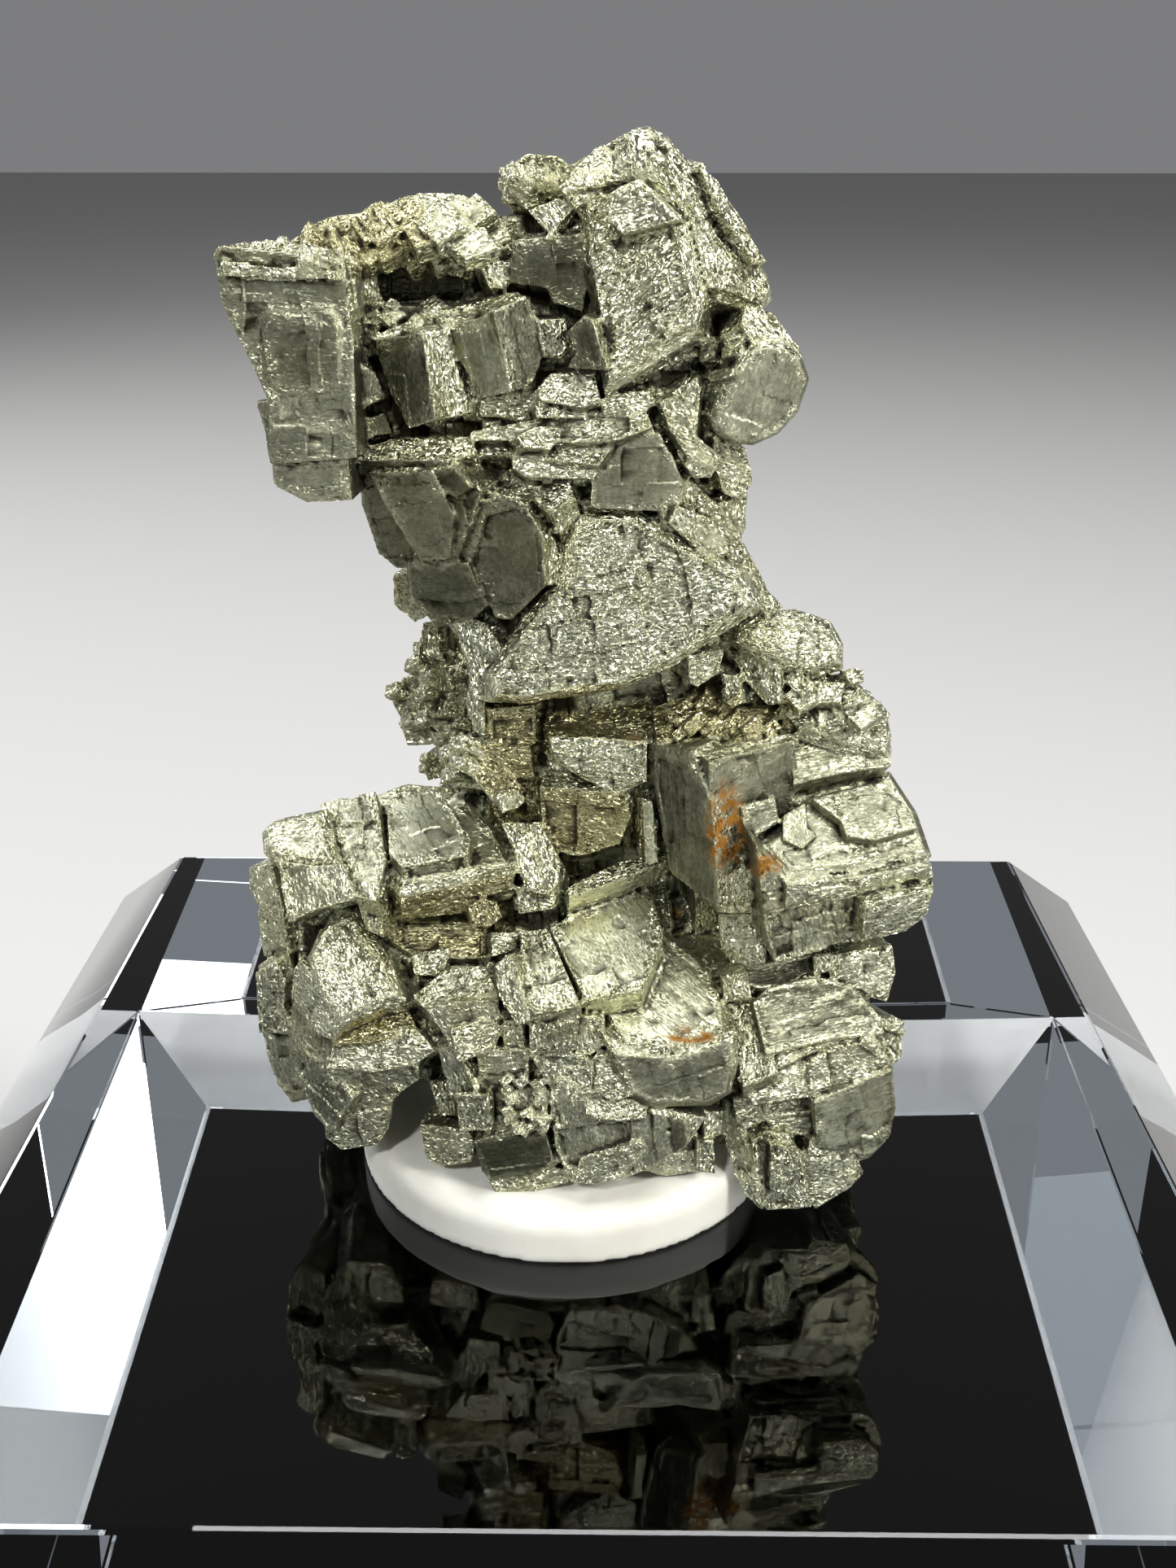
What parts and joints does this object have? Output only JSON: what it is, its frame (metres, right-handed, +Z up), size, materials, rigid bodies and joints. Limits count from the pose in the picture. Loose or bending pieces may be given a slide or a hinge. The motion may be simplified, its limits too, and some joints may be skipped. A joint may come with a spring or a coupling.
{
  "type": "pyrite specimen on display block",
  "caption": "Stepped cluster of intergrown pyrite crystals held by a disc of mounting putty on a clear square bevelled display block.",
  "frame": {"origin": "centre of the display block's flat underside", "axes": "+Z up, +X to the viewer's right, the side the cluster is shown from faces -Y"},
  "size_m": [0.076, 0.076, 0.1019],
  "materials": {
    "pyrite": "pale brassy metallic crystal faces, part mirror-like, part frosted with fine growth steps",
    "putty": "matte cream-white mounting putty",
    "clear_acrylic": "clear polished acrylic, plain transmission, refractive index 1.49"
  },
  "bodies": {
    "root": {"pyrite_cluster": "pyrite", "mounting_putty": "putty", "display_block": "clear_acrylic"}
  },
  "joints": []
}
